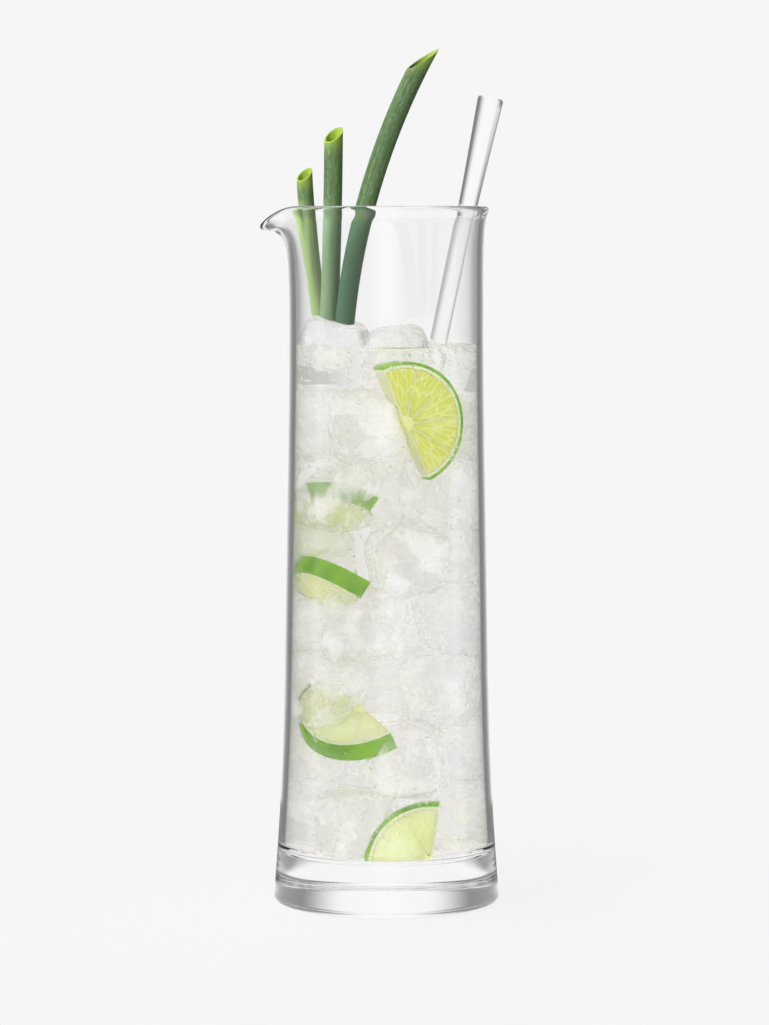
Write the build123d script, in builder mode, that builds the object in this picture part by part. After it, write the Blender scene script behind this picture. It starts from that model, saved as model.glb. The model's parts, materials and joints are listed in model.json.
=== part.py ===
"""Cocktail pitcher with its stirrer, as served: a blown-glass jug of iced drink with lime and spring onion.

Millimetres. The origin is the centre of the foot, +Z is up and the pouring lip points along -X.
"""

import os
from math import cos, pi, radians, sin, sqrt, tan

from build123d import *

os.makedirs("parts", exist_ok=True)

# Pitcher body
pitcher_height = 285.0
wall = 2.6
base_thickness = 20.0
foot_radius = 46.5
shin_radius = 42.0
shin_height = 80.0
waist_radius = 41.2
waist_height = 124.0
neck_radius = 39.6
neck_height = 240.0
foot_slope = 5.0
foot_round = 3.0
floor_round = 6.0

# Rim and pouring lip: how far the edge flares out, how it leans and how far each curve is drawn out
rim_flare = 1.6
rim_lean = 12.0
rim_rise = 20.0
rim_pull = 10.0
lip_reach = 11.7
lip_drop = 6.7
lip_lean = 70.0
lip_rise = 36.0
lip_pull = 9.5
lip_half_angle = 34.0
lip_stations = 6
seam_tolerance = 0.001

# Drink
drink_level = 227.5
film_gap = 0.2

# Stirrer, a solid glass rod that stands on the floor and leans on the rim
stirrer_length = 316.0
stirrer_tip_radius = 3.3
stirrer_neck_radius = 3.85
stirrer_grip_radius = 5.3
stirrer_grip_length = 48.0
stirrer_top_round = 1.2
stirrer_gap = 0.3
stirrer_slant = 1.03
stirrer_rim_azimuth = 15.5
stirrer_foot_azimuth = 133.5
stirrer_foot_reach = 33.0

# Lime slices
lime_radius = 25.0
lime_thickness = 7.5
peel_thickness = 1.3
pith_thickness = 1.2
membrane_thickness = 0.5
lime_core_radius = 1.6
segment_round = 0.8
segment_spread = 36.0
lime_gap = 0.4
rind_steps = 12
side_steps = 400
press_step = 0.05

# Ice: the perch carries the leaves, the floe floats beside it, and layers of cubes fill the drink below them
ice_gap = 0.4
ice_draft = 3.0
cube_size = 27.0
cube_shrink = 2.0
cube_tries = 4
cube_round = 6.0
cube_reach = 14.6
cube_layers = 7
cubes_in_layer = 3
layer_turn = 43.0
cube_lean = 5.0
cube_spin = 7.0
cube_share = 0.45
perch_size = 23.0
perch_depth = 16.0
perch_round = 3.0
perch_draft = 9.0
perch_lean = 13.0
perch_reach = 19.5
perch_rise = 10.0
floe_size = 22.0
floe_round = 4.5
floe_lean = -6.0
floe_rise = 5.8
floe_reach = 3.0
floe_front = 4.0

# Spring onion leaves
leaf_wall = 0.7
leaf_gap = 0.3
leaf_spare = 12.0


def meridian(azimuth):
    """Plane through the axis: its X runs outwards at that azimuth and its Y runs up."""
    angle = radians(azimuth)
    return Plane((0, 0, 0), x_dir=(cos(angle), sin(angle), 0), z_dir=(sin(angle), -cos(angle), 0))


def pitcher_side(inset):
    """Side of the pitcher from the table to the neck, X as radius and Y as height, held in by an inset."""
    stations = [
        (foot_radius - inset, 0),
        (shin_radius - inset, shin_height),
        (waist_radius - inset, waist_height),
        (neck_radius - inset, neck_height),
    ]
    flare = (-sin(radians(foot_slope)), cos(radians(foot_slope)))
    with BuildLine() as side:
        Spline(*stations, tangents=[flare, (0, 1)])
    return side.line


def turned_side(inset):
    """Solid turned from the pitcher's side, from the table to the neck."""
    side = pitcher_side(inset)
    with BuildPart() as turned:
        with BuildSketch(Plane.XZ):
            with BuildLine():
                add(side)
                Polyline(
                    (neck_radius - inset, neck_height),
                    (0, neck_height),
                    (0, 0),
                    (foot_radius - inset, 0),
                )
            make_face()
        revolve(axis=Axis.Z)
    return turned.part


def filling(gap):
    """What fills the pitcher from its floor to its neck, held off the glass by a gap."""
    with BuildPart() as filled:
        add(turned_side(wall + gap))
        split(bisect_by=Plane.XY.offset(base_thickness + gap), keep=Keep.TOP)
        fillet(filled.edges().group_by(Axis.Z)[0], floor_round - gap)
    return filled.part


def rim_section(azimuth, share):
    """Section of the glass above the neck; share is 0 at the plain rim and 1 at the middle of the lip."""
    lean = radians(rim_lean + (lip_lean - rim_lean) * share)
    rise = rim_rise + (lip_rise - rim_rise) * share
    pull = rim_pull + (lip_pull - rim_pull) * share
    reach = rim_flare + (lip_reach - rim_flare) * share
    drop = lip_drop * share**2
    spread = wall * tan(lean / 2)
    along = Vector(sin(lean), cos(lean))
    inward = Vector(-cos(lean), sin(lean))
    middle = Vector(neck_radius + reach - wall / 2, pitcher_height - drop - wall / 2)
    outer_edge = middle - inward * wall / 2
    inner_edge = middle + inward * wall / 2
    outer_neck = Vector(neck_radius, neck_height)
    inner_neck = Vector(neck_radius - wall, neck_height)
    with BuildSketch(meridian(azimuth)) as section:
        with BuildLine():
            Bezier(outer_neck, outer_neck + Vector(0, rise), outer_edge - along * pull, outer_edge)
            ThreePointArc(outer_edge, middle + along * wall / 2, inner_edge)
            Bezier(
                inner_edge,
                inner_edge - along * (pull + spread),
                inner_neck + Vector(0, rise + spread),
                inner_neck,
            )
            Line(inner_neck, outer_neck)
        make_face()
    return section.sketch


with BuildPart() as body:
    add(turned_side(0))
    fillet(body.edges().group_by(Axis.Z)[0], foot_round)
    add(filling(0), mode=Mode.SUBTRACT)

with BuildPart() as rim:
    add(rim_section(180 + lip_half_angle, 0))
    revolve(axis=Axis.Z, revolution_arc=360 - 2 * lip_half_angle)

with BuildPart() as lip:
    for station in range(-lip_stations, lip_stations + 1):
        turn = station / lip_stations
        add(rim_section(180 + lip_half_angle * turn, cos(pi / 2 * turn) ** 2))
    loft()

with BuildPart() as pitcher:
    add(body.part.fuse(rim.part, lip.part, tol=seam_tolerance))
pitcher.part.label = "pitcher_glass"
export_step(pitcher.part, "parts/pitcher_glass.step")

# The stirrer's line, from its foot on the floor to where it leans on the rim
rim_rest_reach = neck_radius + rim_flare - wall - stirrer_gap - stirrer_slant * stirrer_neck_radius
stirrer_foot = Vector(stirrer_foot_reach, 0, base_thickness + stirrer_gap)
stirrer_foot = stirrer_foot.rotate(Axis.Z, stirrer_foot_azimuth)
stirrer_rest = Vector(rim_rest_reach, 0, pitcher_height).rotate(Axis.Z, stirrer_rim_azimuth)
stirrer_line = (stirrer_rest - stirrer_foot).normalized()


def stirrer_rod(gap):
    """The stirrer, or the room it takes in the drink when it is held off by a gap."""
    across = stirrer_line.cross(Vector(0, 1, 0)).normalized()
    side = Plane(stirrer_foot, x_dir=across, z_dir=across.cross(stirrer_line))
    tip = stirrer_tip_radius + gap
    top = stirrer_grip_radius + gap
    with BuildPart() as rod:
        with BuildSketch(side):
            with BuildLine():
                end = RadiusArc((0, -gap), (tip, tip - gap), -tip)
                flank = Spline(
                    end @ 1,
                    (stirrer_neck_radius + gap, stirrer_length - stirrer_grip_length),
                    (top, stirrer_length - stirrer_top_round),
                    tangents=[(0, 1), (stirrer_grip_radius - stirrer_neck_radius, stirrer_grip_length / 2)],
                )
                brow = (top - stirrer_top_round, stirrer_length + gap)
                crown = RadiusArc(flank @ 1, brow, -stirrer_top_round)
                Polyline(crown @ 1, (0, stirrer_length + gap), (0, -gap))
            make_face()
        revolve(axis=Axis(stirrer_foot, stirrer_line))
    return rod.part


with BuildPart() as stirrer:
    add(stirrer_rod(0))
stirrer.part.label = "stirrer"
export_step(stirrer.part, "parts/stirrer.step")


def facing(centre, azimuth, tilt):
    """Plane of a slice whose face looks out at that azimuth and tilts up; its X runs level to the right."""
    turn = radians(azimuth)
    rise = radians(tilt)
    face = (cos(turn) * cos(rise), sin(turn) * cos(rise), sin(rise))
    return Plane(centre, x_dir=(-sin(turn), cos(turn), 0), z_dir=face)


def lime_wedge(plane, radius, start, spread, gap=0):
    """Whole wedge of a wheel of lime, from its middle out to a radius, or its room with a gap all round."""
    back = gap / sin(radians(spread / 2))
    middle = start + spread / 2
    point = (-back * cos(radians(middle)), -back * sin(radians(middle)))
    with BuildPart() as wedge:
        with BuildSketch(plane):
            with BuildLine():
                arc = CenterArc(point, radius + gap + back, start, spread)
                Polyline(arc @ 1, point, arc @ 0)
            make_face()
        extrude(amount=lime_thickness / 2 + gap, both=True)
    return wedge.part


inner_side = pitcher_side(wall)
inner_points = [inner_side @ (number / side_steps) for number in range(side_steps + 1)]


def glass_radius(height):
    """Inner radius of the pitcher at a height between its floor and its neck."""
    above = next(point for point in inner_points if point.Y >= height)
    corner = max(0, base_thickness + floor_round - height)
    return above.X - floor_round + sqrt(max(0, floor_round**2 - corner**2))


def clears_glass(plane, start, spread):
    """Whether a slice of lime in that plane stays off the glass at its middle and all along its rind."""
    angles = [start + spread * number / rind_steps for number in range(rind_steps + 1)]
    outline = [Vector(0, 0)] + [Vector(lime_radius, 0).rotate(Axis.Z, angle) for angle in angles]
    for corner in outline:
        for side in (-1, 1):
            point = plane.from_local_coords(corner + Vector(0, 0, side * lime_thickness / 2))
            if Vector(point.X, point.Y).length > glass_radius(point.Z) - lime_gap:
                return False
    return True


def pressed_slice(bearing, height, azimuth, tilt, start, spread):
    """Plane of a slice that is slid out from the axis along a bearing until it meets the glass."""
    near, far = 0.0, glass_radius(height)
    while far - near > press_step:
        reach = (near + far) / 2
        middle = Vector(reach, 0, height).rotate(Axis.Z, bearing)
        if clears_glass(facing(middle, azimuth, tilt), start, spread):
            near = reach
        else:
            far = reach
    return facing(Vector(near, 0, height).rotate(Axis.Z, bearing), azimuth, tilt)


# Each slice: name, bearing and height of its middle, azimuth and tilt of its face, and its part of the wheel
lime_slices = [
    ("top", -79, 198.0, -62, 0, -66, 180),
    ("upper", 175, 152.0, -125, -40, 43, 180),
    ("middle", -135, 127.0, 22, 57, -20, 180),
    ("lower", -116, 80.0, -121, 54, 142, 180),
    ("floor", -61, base_thickness + lime_gap, -90, 0, 82, 98),
]
limes = []
lime_rooms = []
flesh_radius = lime_radius - peel_thickness - pith_thickness
membrane_angle = 180 / pi * membrane_thickness / 2 / flesh_radius
for name, bearing, height, azimuth, tilt, start, spread in lime_slices:
    plane = pressed_slice(bearing, height, azimuth, tilt, start, spread)
    limes.append(lime_wedge(plane, lime_radius, start, spread))
    lime_rooms.append(lime_wedge(plane, lime_radius, start, spread, lime_gap))

    with BuildPart() as peel:
        add(lime_wedge(plane, lime_radius, start, spread))
        add(lime_wedge(plane, lime_radius - peel_thickness, start, spread), mode=Mode.SUBTRACT)
    peel.part.label = f"lime_{name}_peel"
    export_step(peel.part, f"parts/lime_{name}_peel.step")

    segment_count = round(spread / segment_spread)
    step = spread / segment_count
    with BuildPart() as segments:
        for number in range(segment_count):
            middle = start + step * (number + 0.5)
            with BuildSketch(plane):
                with BuildLine():
                    arc = CenterArc(
                        (0, 0),
                        flesh_radius,
                        middle - step / 2 + membrane_angle,
                        step - 2 * membrane_angle,
                    )
                    point = Vector(lime_core_radius, 0).rotate(Axis.Z, middle)
                    Polyline(arc @ 1, point, arc @ 0)
                wedge = make_face()
                fillet(wedge.vertices(), segment_round)
            extrude(amount=lime_thickness / 2, both=True)
    segments.part.label = f"lime_{name}_segments"
    export_step(segments.part, f"parts/lime_{name}_segments.step")

    with BuildPart() as pith:
        add(lime_wedge(plane, lime_radius - peel_thickness, start, spread))
        add(segments.part, mode=Mode.SUBTRACT)
    pith.part.label = f"lime_{name}_pith"
    export_step(pith.part, f"parts/lime_{name}_pith.step")


def ice_block(top, size, depth, draft, rounding):
    """Melting ice cube with drawn sides, under the plane of its top face."""
    with BuildPart() as block:
        with BuildSketch(top):
            Rectangle(size, size)
        extrude(amount=depth, dir=-top.z_dir, taper=draft)
        fillet(block.edges(), rounding)
    return block.part


def leaning(place, lean):
    """Plane at a place, leaning towards +X."""
    level = Plane(place)
    return level.rotated((0, lean, 0))


perch_top = leaning((-perch_reach, 0, drink_level + perch_rise), perch_lean)
with BuildPart() as ice_perch:
    add(ice_block(perch_top, perch_size, perch_depth, perch_draft, perch_round))
ice_perch.part.label = "ice_perch"
export_step(ice_perch.part, "parts/ice_perch.step")

floe_top = leaning((floe_reach, -floe_front, drink_level + floe_rise), floe_lean)
with BuildPart() as ice_floe:
    add(ice_block(floe_top, floe_size, floe_size, ice_draft, floe_round))
ice_floe.part.label = "ice_floe"
export_step(ice_floe.part, "parts/ice_floe.step")
ice = [ice_perch.part, ice_floe.part]


def cube_plane(bearing, height, reach, lean, size):
    """Plane of the top face of a cube at a reach from the axis, along a bearing."""
    middle = Vector(reach, 0, height).rotate(Axis.Z, bearing)
    return Plane(middle).rotated(lean).offset(size / 2)


def cube_clears_glass(top, size):
    """Whether the rounded corners of a cube under that plane stay off the glass."""
    side = size / 2 - cube_round
    for x in (-side, side):
        for y in (-side, side):
            for z in (-cube_round, cube_round - size):
                corner = top.from_local_coords(Vector(x, y, z))
                for angle in (-45, 0, 45):
                    height = corner.Z + cube_round * sin(radians(angle))
                    reach = Vector(corner.X, corner.Y).length + cube_round * cos(radians(angle))
                    if reach > glass_radius(height) - film_gap - ice_gap:
                        return False
    return True


def pressed_cube(bearing, height, lean, size):
    """Cube that is slid out from the axis along a bearing until it meets the glass."""
    near, far = 0.0, glass_radius(height)
    while far - near > press_step:
        reach = (near + far) / 2
        if cube_clears_glass(cube_plane(bearing, height, reach, lean, size), size):
            near = reach
        else:
            far = reach
    return ice_block(cube_plane(bearing, height, near, lean, size), size, size, ice_draft, cube_round)


def clears_ice(block):
    """Whether a cube stays off the ice that is already in the drink."""
    near = [other for other in ice if (other.center() - block.center()).length < 2 * cube_size]
    return all(block.distance_to(other) >= ice_gap for other in near)


# Layers of cubes fill the drink. Each takes the largest size that clears the ice before it, and is notched
# where a lime or the stirrer lies against it
stirrer_room = stirrer_rod(stirrer_gap)
lowest = base_thickness + film_gap + ice_gap + cube_reach
highest = min(block.bounding_box().min.Z for block in ice) - ice_gap - cube_reach
layer_height = (highest - lowest) / (cube_layers - 1)
cube_count = 0
for berth in range(cube_layers * cubes_in_layer):
    layer, seat = divmod(berth, cubes_in_layer)
    bearing = layer_turn * layer + 360 / cubes_in_layer * seat
    height = lowest + layer_height * layer
    sway = berth % 3 - 1
    lean = (cube_lean * sway, cube_lean * (berth % 2), bearing + cube_spin * sway)
    sizes = [cube_size - cube_shrink * number for number in range(cube_tries)]
    blocks = (pressed_cube(bearing, height, lean, size) for size in sizes)
    block = next((block for block in blocks if clears_ice(block)), None)
    if block is None:
        continue
    with BuildPart() as notched:
        add(block)
        add([stirrer_room, *lime_rooms], mode=Mode.SUBTRACT)
    piece = notched.solids().sort_by(SortBy.VOLUME)[-1]
    if piece.volume < cube_share * block.volume:
        continue
    cube_count += 1
    with BuildPart() as cube:
        add(piece)
    cube.part.label = f"ice_cube_{cube_count:02d}"
    export_step(cube.part, f"parts/ice_cube_{cube_count:02d}.step")
    ice.append(cube.part)

# Each leaf: name, radius, place on the perch, lean at its foot, how far it bends, length, normal of its cut
leaves = [
    ("left", 3.3, (-27.0, 7.0), -9, 6, 62, (-0.45, -0.5, 0.74)),
    ("middle", 3.8, (-23.5, -0.5), 2.5, -2, 79, (-0.42, -0.5, 0.76)),
    ("right", 4.0, (-17.3, -6.0), 4.5, 23, 116, (-0.5, -0.25, 0.83)),
]
for name, radius, place, lean, bend, length, cut in leaves:
    foot = Vector(*place, perch_top.origin.Z - (place[0] - perch_top.origin.X) * tan(radians(perch_lean)))
    upright = Plane(foot, x_dir=(1, 0, 0), z_dir=(0, -1, 0))
    growth = (sin(radians(lean)), cos(radians(lean)))
    bow = length / radians(abs(bend))
    with BuildPart() as leaf:
        with BuildLine(upright) as spine:
            JernArc((0, -radius), growth, bow, -bend * (length + leaf_spare) / length)
        tip = spine.line @ (length / (length + leaf_spare))
        with BuildSketch(Plane(spine.line @ 0, z_dir=spine.line % 0)):
            Circle(radius)
            Circle(radius - leaf_wall, mode=Mode.SUBTRACT)
        sweep(path=spine.line)
        split(bisect_by=perch_top.offset(leaf_gap), keep=Keep.TOP)
        split(bisect_by=Plane(tip, z_dir=cut), keep=Keep.BOTTOM)
    leaf.part.label = f"spring_onion_{name}"
    export_step(leaf.part, f"parts/spring_onion_{name}.step")

with BuildPart() as drink:
    add(filling(film_gap))
    split(bisect_by=Plane.XY.offset(drink_level), keep=Keep.BOTTOM)
    add([stirrer_room, *limes, *ice], mode=Mode.SUBTRACT)
drink.part.label = "drink"
export_step(drink.part, "parts/drink.step")
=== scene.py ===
"""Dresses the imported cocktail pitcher: blown glass, an iced drink with limes, leaves and a stirrer."""

import json
import math
import random

import bpy
import numpy as np
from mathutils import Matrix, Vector

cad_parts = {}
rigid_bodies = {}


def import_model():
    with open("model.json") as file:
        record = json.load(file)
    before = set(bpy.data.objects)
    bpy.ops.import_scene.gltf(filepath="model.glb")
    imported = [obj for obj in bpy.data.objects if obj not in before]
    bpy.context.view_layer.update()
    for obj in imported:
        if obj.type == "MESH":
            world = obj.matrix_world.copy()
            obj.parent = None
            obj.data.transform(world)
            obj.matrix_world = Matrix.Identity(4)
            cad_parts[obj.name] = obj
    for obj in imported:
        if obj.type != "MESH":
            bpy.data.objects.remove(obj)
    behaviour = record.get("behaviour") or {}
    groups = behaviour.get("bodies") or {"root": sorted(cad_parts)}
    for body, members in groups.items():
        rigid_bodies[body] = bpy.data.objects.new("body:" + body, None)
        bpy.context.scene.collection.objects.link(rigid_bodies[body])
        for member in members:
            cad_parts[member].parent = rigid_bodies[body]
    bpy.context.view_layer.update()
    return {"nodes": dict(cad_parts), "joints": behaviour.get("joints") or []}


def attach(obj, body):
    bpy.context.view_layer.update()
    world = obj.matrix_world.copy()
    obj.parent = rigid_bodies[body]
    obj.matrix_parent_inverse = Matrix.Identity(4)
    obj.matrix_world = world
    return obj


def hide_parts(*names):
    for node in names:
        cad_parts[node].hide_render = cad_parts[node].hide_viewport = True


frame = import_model()

bl_info = {
    "name": "Cocktail Pitcher",
    "version": (1, 0, 0),
    "blender": (4, 5, 0),
    "location": "3D View > Sidebar > Pitcher",
    "description": "Dresses the packed glass pitcher with its drink, ice, limes, leaves and stirrer",
    "category": "Object",
}

MM = 0.001
MERGE_REACH = 0.005 * MM

# Way that each slice faces, its tilt and where its wedge starts, in degrees
LIMES = {
    "top": (-62, 0, -66),
    "upper": (-125, -40, 43),
    "middle": (22, 57, -20),
    "lower": (-121, 54, 142),
    "floor": (-90, 0, 82),
}
# How much paler than the flesh colour each slice is made
PALENESS = {"top": -0.1, "upper": 0.4, "middle": 0.4, "lower": 0.5, "floor": 0.4}
RINDS = [f"{name}_slice_peel" for name in LIMES]
ICE_GAP = 0.35 * MM
STIRRER_ROOM = 4.2 * MM

GLASS_IOR = 1.5
ROD_IOR = 1.17
ROD_IOR_IN_DRINK = 1.13
WATER_IOR = 1.333
ICE_IOR = 1.31
ICE_IOR_IN_DRINK = 1.025
WHITE = (1, 1, 1, 1)


def linear(code):
    """Linear colour of an sRGB hex code."""
    channels = [int(code[place : place + 2], 16) / 255 for place in (1, 3, 5)]
    return [value / 12.92 if value <= 0.04045 else ((value + 0.055) / 1.055) ** 2.4 for value in channels]


def paint(colour):
    """A colour property as a socket value."""
    return (*colour, 1.0)


def per_mm(size):
    """Texture scale that gives a pattern a size in millimetres."""
    return 1 / (size * MM)


def add_node(tree, kind, inputs=None, **settings):
    """A node with its settings; an input is a value or a socket to link from."""
    node = tree.nodes.new(kind)
    for key, value in settings.items():
        setattr(node, key, value)
    for key, value in (inputs or {}).items():
        if isinstance(value, bpy.types.NodeSocket):
            tree.links.new(value, node.inputs[key])
        else:
            node.inputs[key].default_value = value
    return node


def new_material(name):
    """An empty node material of that name."""
    material = bpy.data.materials.new(name)
    material.use_nodes = True
    material.node_tree.nodes.clear()
    return material


class PitcherGlassSettings(bpy.types.PropertyGroup):
    """Sizes and tint of the blown glass."""

    height: bpy.props.FloatProperty(name="Height", description="Table to rim", default=0.285, unit="LENGTH")
    wall: bpy.props.FloatProperty(
        name="Wall", description="Thickness of the wall", default=0.0026, unit="LENGTH"
    )
    base: bpy.props.FloatProperty(
        name="Base", description="Thickness of the base", default=0.020, unit="LENGTH"
    )
    foot: bpy.props.FloatProperty(
        name="Foot", description="Radius at the table", default=0.0465, unit="LENGTH"
    )
    shin: bpy.props.FloatProperty(
        name="Shin", description="Radius above the foot", default=0.042, unit="LENGTH"
    )
    shin_height: bpy.props.FloatProperty(
        name="Shin height", description="Height of the shin", default=0.080, unit="LENGTH"
    )
    waist: bpy.props.FloatProperty(
        name="Waist", description="Radius half way up", default=0.0412, unit="LENGTH"
    )
    waist_height: bpy.props.FloatProperty(
        name="Waist height", description="Height of the waist", default=0.124, unit="LENGTH"
    )
    neck: bpy.props.FloatProperty(
        name="Neck", description="Radius under the rim", default=0.0396, unit="LENGTH"
    )
    neck_height: bpy.props.FloatProperty(
        name="Neck height", description="Height of the neck", default=0.240, unit="LENGTH"
    )
    lip_half_angle: bpy.props.FloatProperty(
        name="Lip half angle",
        description="Half the part of the rim that the pouring lip takes",
        default=math.radians(34),
        subtype="ANGLE",
    )
    bead: bpy.props.FloatProperty(
        name="Bead",
        description="How far the fire-polished rim stands out from the wall",
        default=0.0005,
        unit="LENGTH",
    )
    columns: bpy.props.IntProperty(name="Columns", description="Steps round the glass", default=180, min=24)
    tint: bpy.props.FloatVectorProperty(
        name="Tint", description="Colour of the glass", default=linear("#FEFEFE"), subtype="COLOR"
    )


class DrinkSettings(bpy.types.PropertyGroup):
    """The drink, its surface and its gas."""

    level: bpy.props.FloatProperty(
        name="Level", description="Height of the surface above the table", default=0.2275, unit="LENGTH"
    )
    film: bpy.props.FloatProperty(
        name="Film",
        description="Gap that keeps the wall of the glass in sight",
        default=0.00015,
        unit="LENGTH",
    )
    meniscus: bpy.props.FloatProperty(
        name="Meniscus", description="How far the surface climbs the glass", default=0.0012, unit="LENGTH"
    )
    haze: bpy.props.FloatProperty(
        name="Haze", description="Fine gas in each metre of drink", default=7.5, min=0
    )
    bubbles: bpy.props.IntProperty(name="Bubbles", description="Bubbles on the glass", default=200, min=1)
    clinging: bpy.props.IntProperty(
        name="Clinging", description="Bubbles on each piece of ice or peel", default=34, min=1
    )
    rising: bpy.props.IntProperty(
        name="Rising", description="Bubbles under the surface", default=320, min=1
    )
    seed: bpy.props.IntProperty(name="Seed", description="Start of the bubbles' random draw", default=7)
    tint: bpy.props.FloatVectorProperty(
        name="Tint", description="Colour of the drink", default=linear("#FDFDFC"), subtype="COLOR"
    )


class IceSettings(bpy.types.PropertyGroup):
    """Melting ice."""

    voxel: bpy.props.FloatProperty(
        name="Voxel", description="Mesh size of the ice", default=0.0011, unit="LENGTH"
    )
    swell: bpy.props.FloatProperty(
        name="Swell", description="How far the lumps stand out from the cubes", default=0.008, unit="LENGTH"
    )
    melt: bpy.props.FloatProperty(
        name="Melt", description="Depth of the melted hollows", default=0.0018, unit="LENGTH"
    )
    frost: bpy.props.FloatVectorProperty(
        name="Frost", description="Colour of cloudy ice", default=linear("#F8F7F8"), subtype="COLOR"
    )


class LimeSettings(bpy.types.PropertyGroup):
    """Sizes and colours of the lime slices."""

    radius: bpy.props.FloatProperty(
        name="Radius", description="Radius of a slice", default=0.025, unit="LENGTH"
    )
    peel: bpy.props.FloatVectorProperty(
        name="Peel", description="Ripe colour of the peel", default=linear("#8EC202"), subtype="COLOR"
    )
    peel_dark: bpy.props.FloatVectorProperty(
        name="Dark peel",
        description="Colour of the peel's darker patches",
        default=linear("#549202"),
        subtype="COLOR",
    )
    pith: bpy.props.FloatVectorProperty(
        name="Pith", description="Colour of the pith", default=linear("#EFF5CF"), subtype="COLOR"
    )
    flesh: bpy.props.FloatVectorProperty(
        name="Flesh", description="Colour of the juice sacs", default=linear("#D8DC5C"), subtype="COLOR"
    )
    flesh_pale: bpy.props.FloatVectorProperty(
        name="Pale flesh",
        description="Colour between the juice sacs",
        default=linear("#E9EC9E"),
        subtype="COLOR",
    )


class LeafSettings(bpy.types.PropertyGroup):
    """Colours of the spring onion leaves."""

    skin: bpy.props.FloatVectorProperty(
        name="Skin", description="Colour of the leaf", default=linear("#557040"), subtype="COLOR"
    )
    # Also the colour of the painted shade on the right side of each stalk
    rib_and_painted_shade: bpy.props.FloatVectorProperty(
        name="Rib", description="Colour of the darker ribs", default=linear("#385629"), subtype="COLOR"
    )
    wax: bpy.props.FloatVectorProperty(
        name="Wax",
        description="Colour of the pale flecks of wax",
        default=linear("#88948B"),
        subtype="COLOR",
    )
    stalk_left: bpy.props.FloatVectorProperty(
        name="Left stalk",
        description="Colour of the left leaf's foot",
        default=linear("#A3BD7C"),
        subtype="COLOR",
    )
    stalk_middle: bpy.props.FloatVectorProperty(
        name="Middle stalk",
        description="Colour of the middle leaf's foot",
        default=linear("#7E9E74"),
        subtype="COLOR",
    )
    stalk_right: bpy.props.FloatVectorProperty(
        name="Right stalk",
        description="Colour of the right leaf's foot",
        default=linear("#3F6C4A"),
        subtype="COLOR",
    )
    # Also the colour of the painted light towards each leaf's tip
    cut: bpy.props.FloatVectorProperty(
        name="Cut",
        description="Colour of the cut edge and inside",
        default=linear("#97B238"),
        subtype="COLOR",
    )


class StageSettings(bpy.types.PropertyGroup):
    """Camera, table and light."""

    distance: bpy.props.FloatProperty(
        name="Distance", description="Camera to the pitcher's axis", default=1.6, unit="LENGTH"
    )
    lens: bpy.props.FloatProperty(
        name="Lens", description="Focal length", default=137.9, subtype="DISTANCE_CAMERA"
    )
    aim: bpy.props.FloatProperty(
        name="Aim", description="Height that the camera looks at", default=0.160, unit="LENGTH"
    )
    side: bpy.props.FloatProperty(
        name="Side", description="How far the camera stands to the right", default=-0.0008, unit="LENGTH"
    )
    backdrop: bpy.props.FloatVectorProperty(
        name="Backdrop",
        description="Colour of the backdrop and table",
        default=linear("#F6F6F6"),
        subtype="COLOR",
    )
    flag: bpy.props.FloatProperty(
        name="Flag",
        description="Brightness of the dark flags that draw the edges",
        default=0.24,
        min=0,
        max=1,
    )
    fill: bpy.props.FloatProperty(
        name="Fill",
        description="Strength of the soft light that falls on the fruit and ice",
        default=1.38,
        min=0,
    )
    slant: bpy.props.FloatProperty(
        name="Slant",
        description="How much more of the soft light comes from the left",
        default=0.9,
        min=0,
        max=1,
    )
    table: bpy.props.FloatProperty(
        name="Table", description="Radius of the table", default=0.3, unit="LENGTH"
    )


def deselect_all():
    """Leaves edit mode and selects nothing."""
    if bpy.context.object and bpy.context.object.mode != "OBJECT":
        bpy.ops.object.mode_set(mode="OBJECT")
    bpy.ops.object.select_all(action="DESELECT")


def take_up(piece):
    """Makes one piece the only selected and the active one."""
    deselect_all()
    piece.select_set(True)
    bpy.context.view_layer.objects.active = piece


def spun(name, profile, steps, centre=(0, 0, 0), axis=(0, 0, 1)):
    """A profile drawn point by point and spun about an axis to a closed skin."""
    deselect_all()
    bpy.ops.mesh.primitive_plane_add(size=MM, location=profile[0])
    piece = bpy.context.object
    piece.name = name
    piece.data.name = name
    bpy.ops.object.transform_apply(location=True, rotation=True, scale=True)
    bpy.ops.object.mode_set(mode="EDIT")
    bpy.ops.mesh.select_all(action="SELECT")
    bpy.ops.mesh.merge(type="CENTER")
    for start, end in zip(profile, profile[1:]):
        step = Vector(end) - Vector(start)
        bpy.ops.mesh.extrude_vertices_move(TRANSFORM_OT_translate={"value": step})
    bpy.ops.mesh.select_all(action="SELECT")
    bpy.ops.mesh.spin(steps=steps, angle=math.tau, center=centre, axis=axis)
    bpy.ops.mesh.select_all(action="SELECT")
    bpy.ops.mesh.remove_doubles(threshold=MERGE_REACH)
    bpy.ops.mesh.normals_make_consistent(inside=False)
    bpy.ops.object.mode_set(mode="OBJECT")
    bpy.ops.object.shade_smooth()
    return piece


def merged_copy(node, name):
    """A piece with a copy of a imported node's mesh, its loose triangles joined."""
    mesh = frame["nodes"][node].data.copy()
    piece = bpy.data.objects.new(name, mesh)
    mesh.name = name
    mesh.materials.clear()
    bpy.context.scene.collection.objects.link(piece)
    take_up(piece)
    bpy.ops.mesh.customdata_custom_splitnormals_clear()
    bpy.ops.object.mode_set(mode="EDIT")
    bpy.ops.mesh.select_all(action="SELECT")
    bpy.ops.mesh.remove_doubles(threshold=MERGE_REACH)
    bpy.ops.object.mode_set(mode="OBJECT")
    return piece


def modify(piece, kind, **settings):
    """Adds a modifier to a piece and applies it."""
    take_up(piece)
    bpy.ops.object.modifier_add(type=kind)
    modifier = piece.modifiers[-1]
    for key, value in settings.items():
        setattr(modifier, key, value)
    bpy.ops.object.modifier_apply(modifier=modifier.name)


def clouds(name, size, kind="CLOUDS"):
    """A texture for displacement, with a feature size in metres."""
    texture = bpy.data.textures.new(name, type=kind)
    texture.noise_scale = size
    return texture


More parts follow.
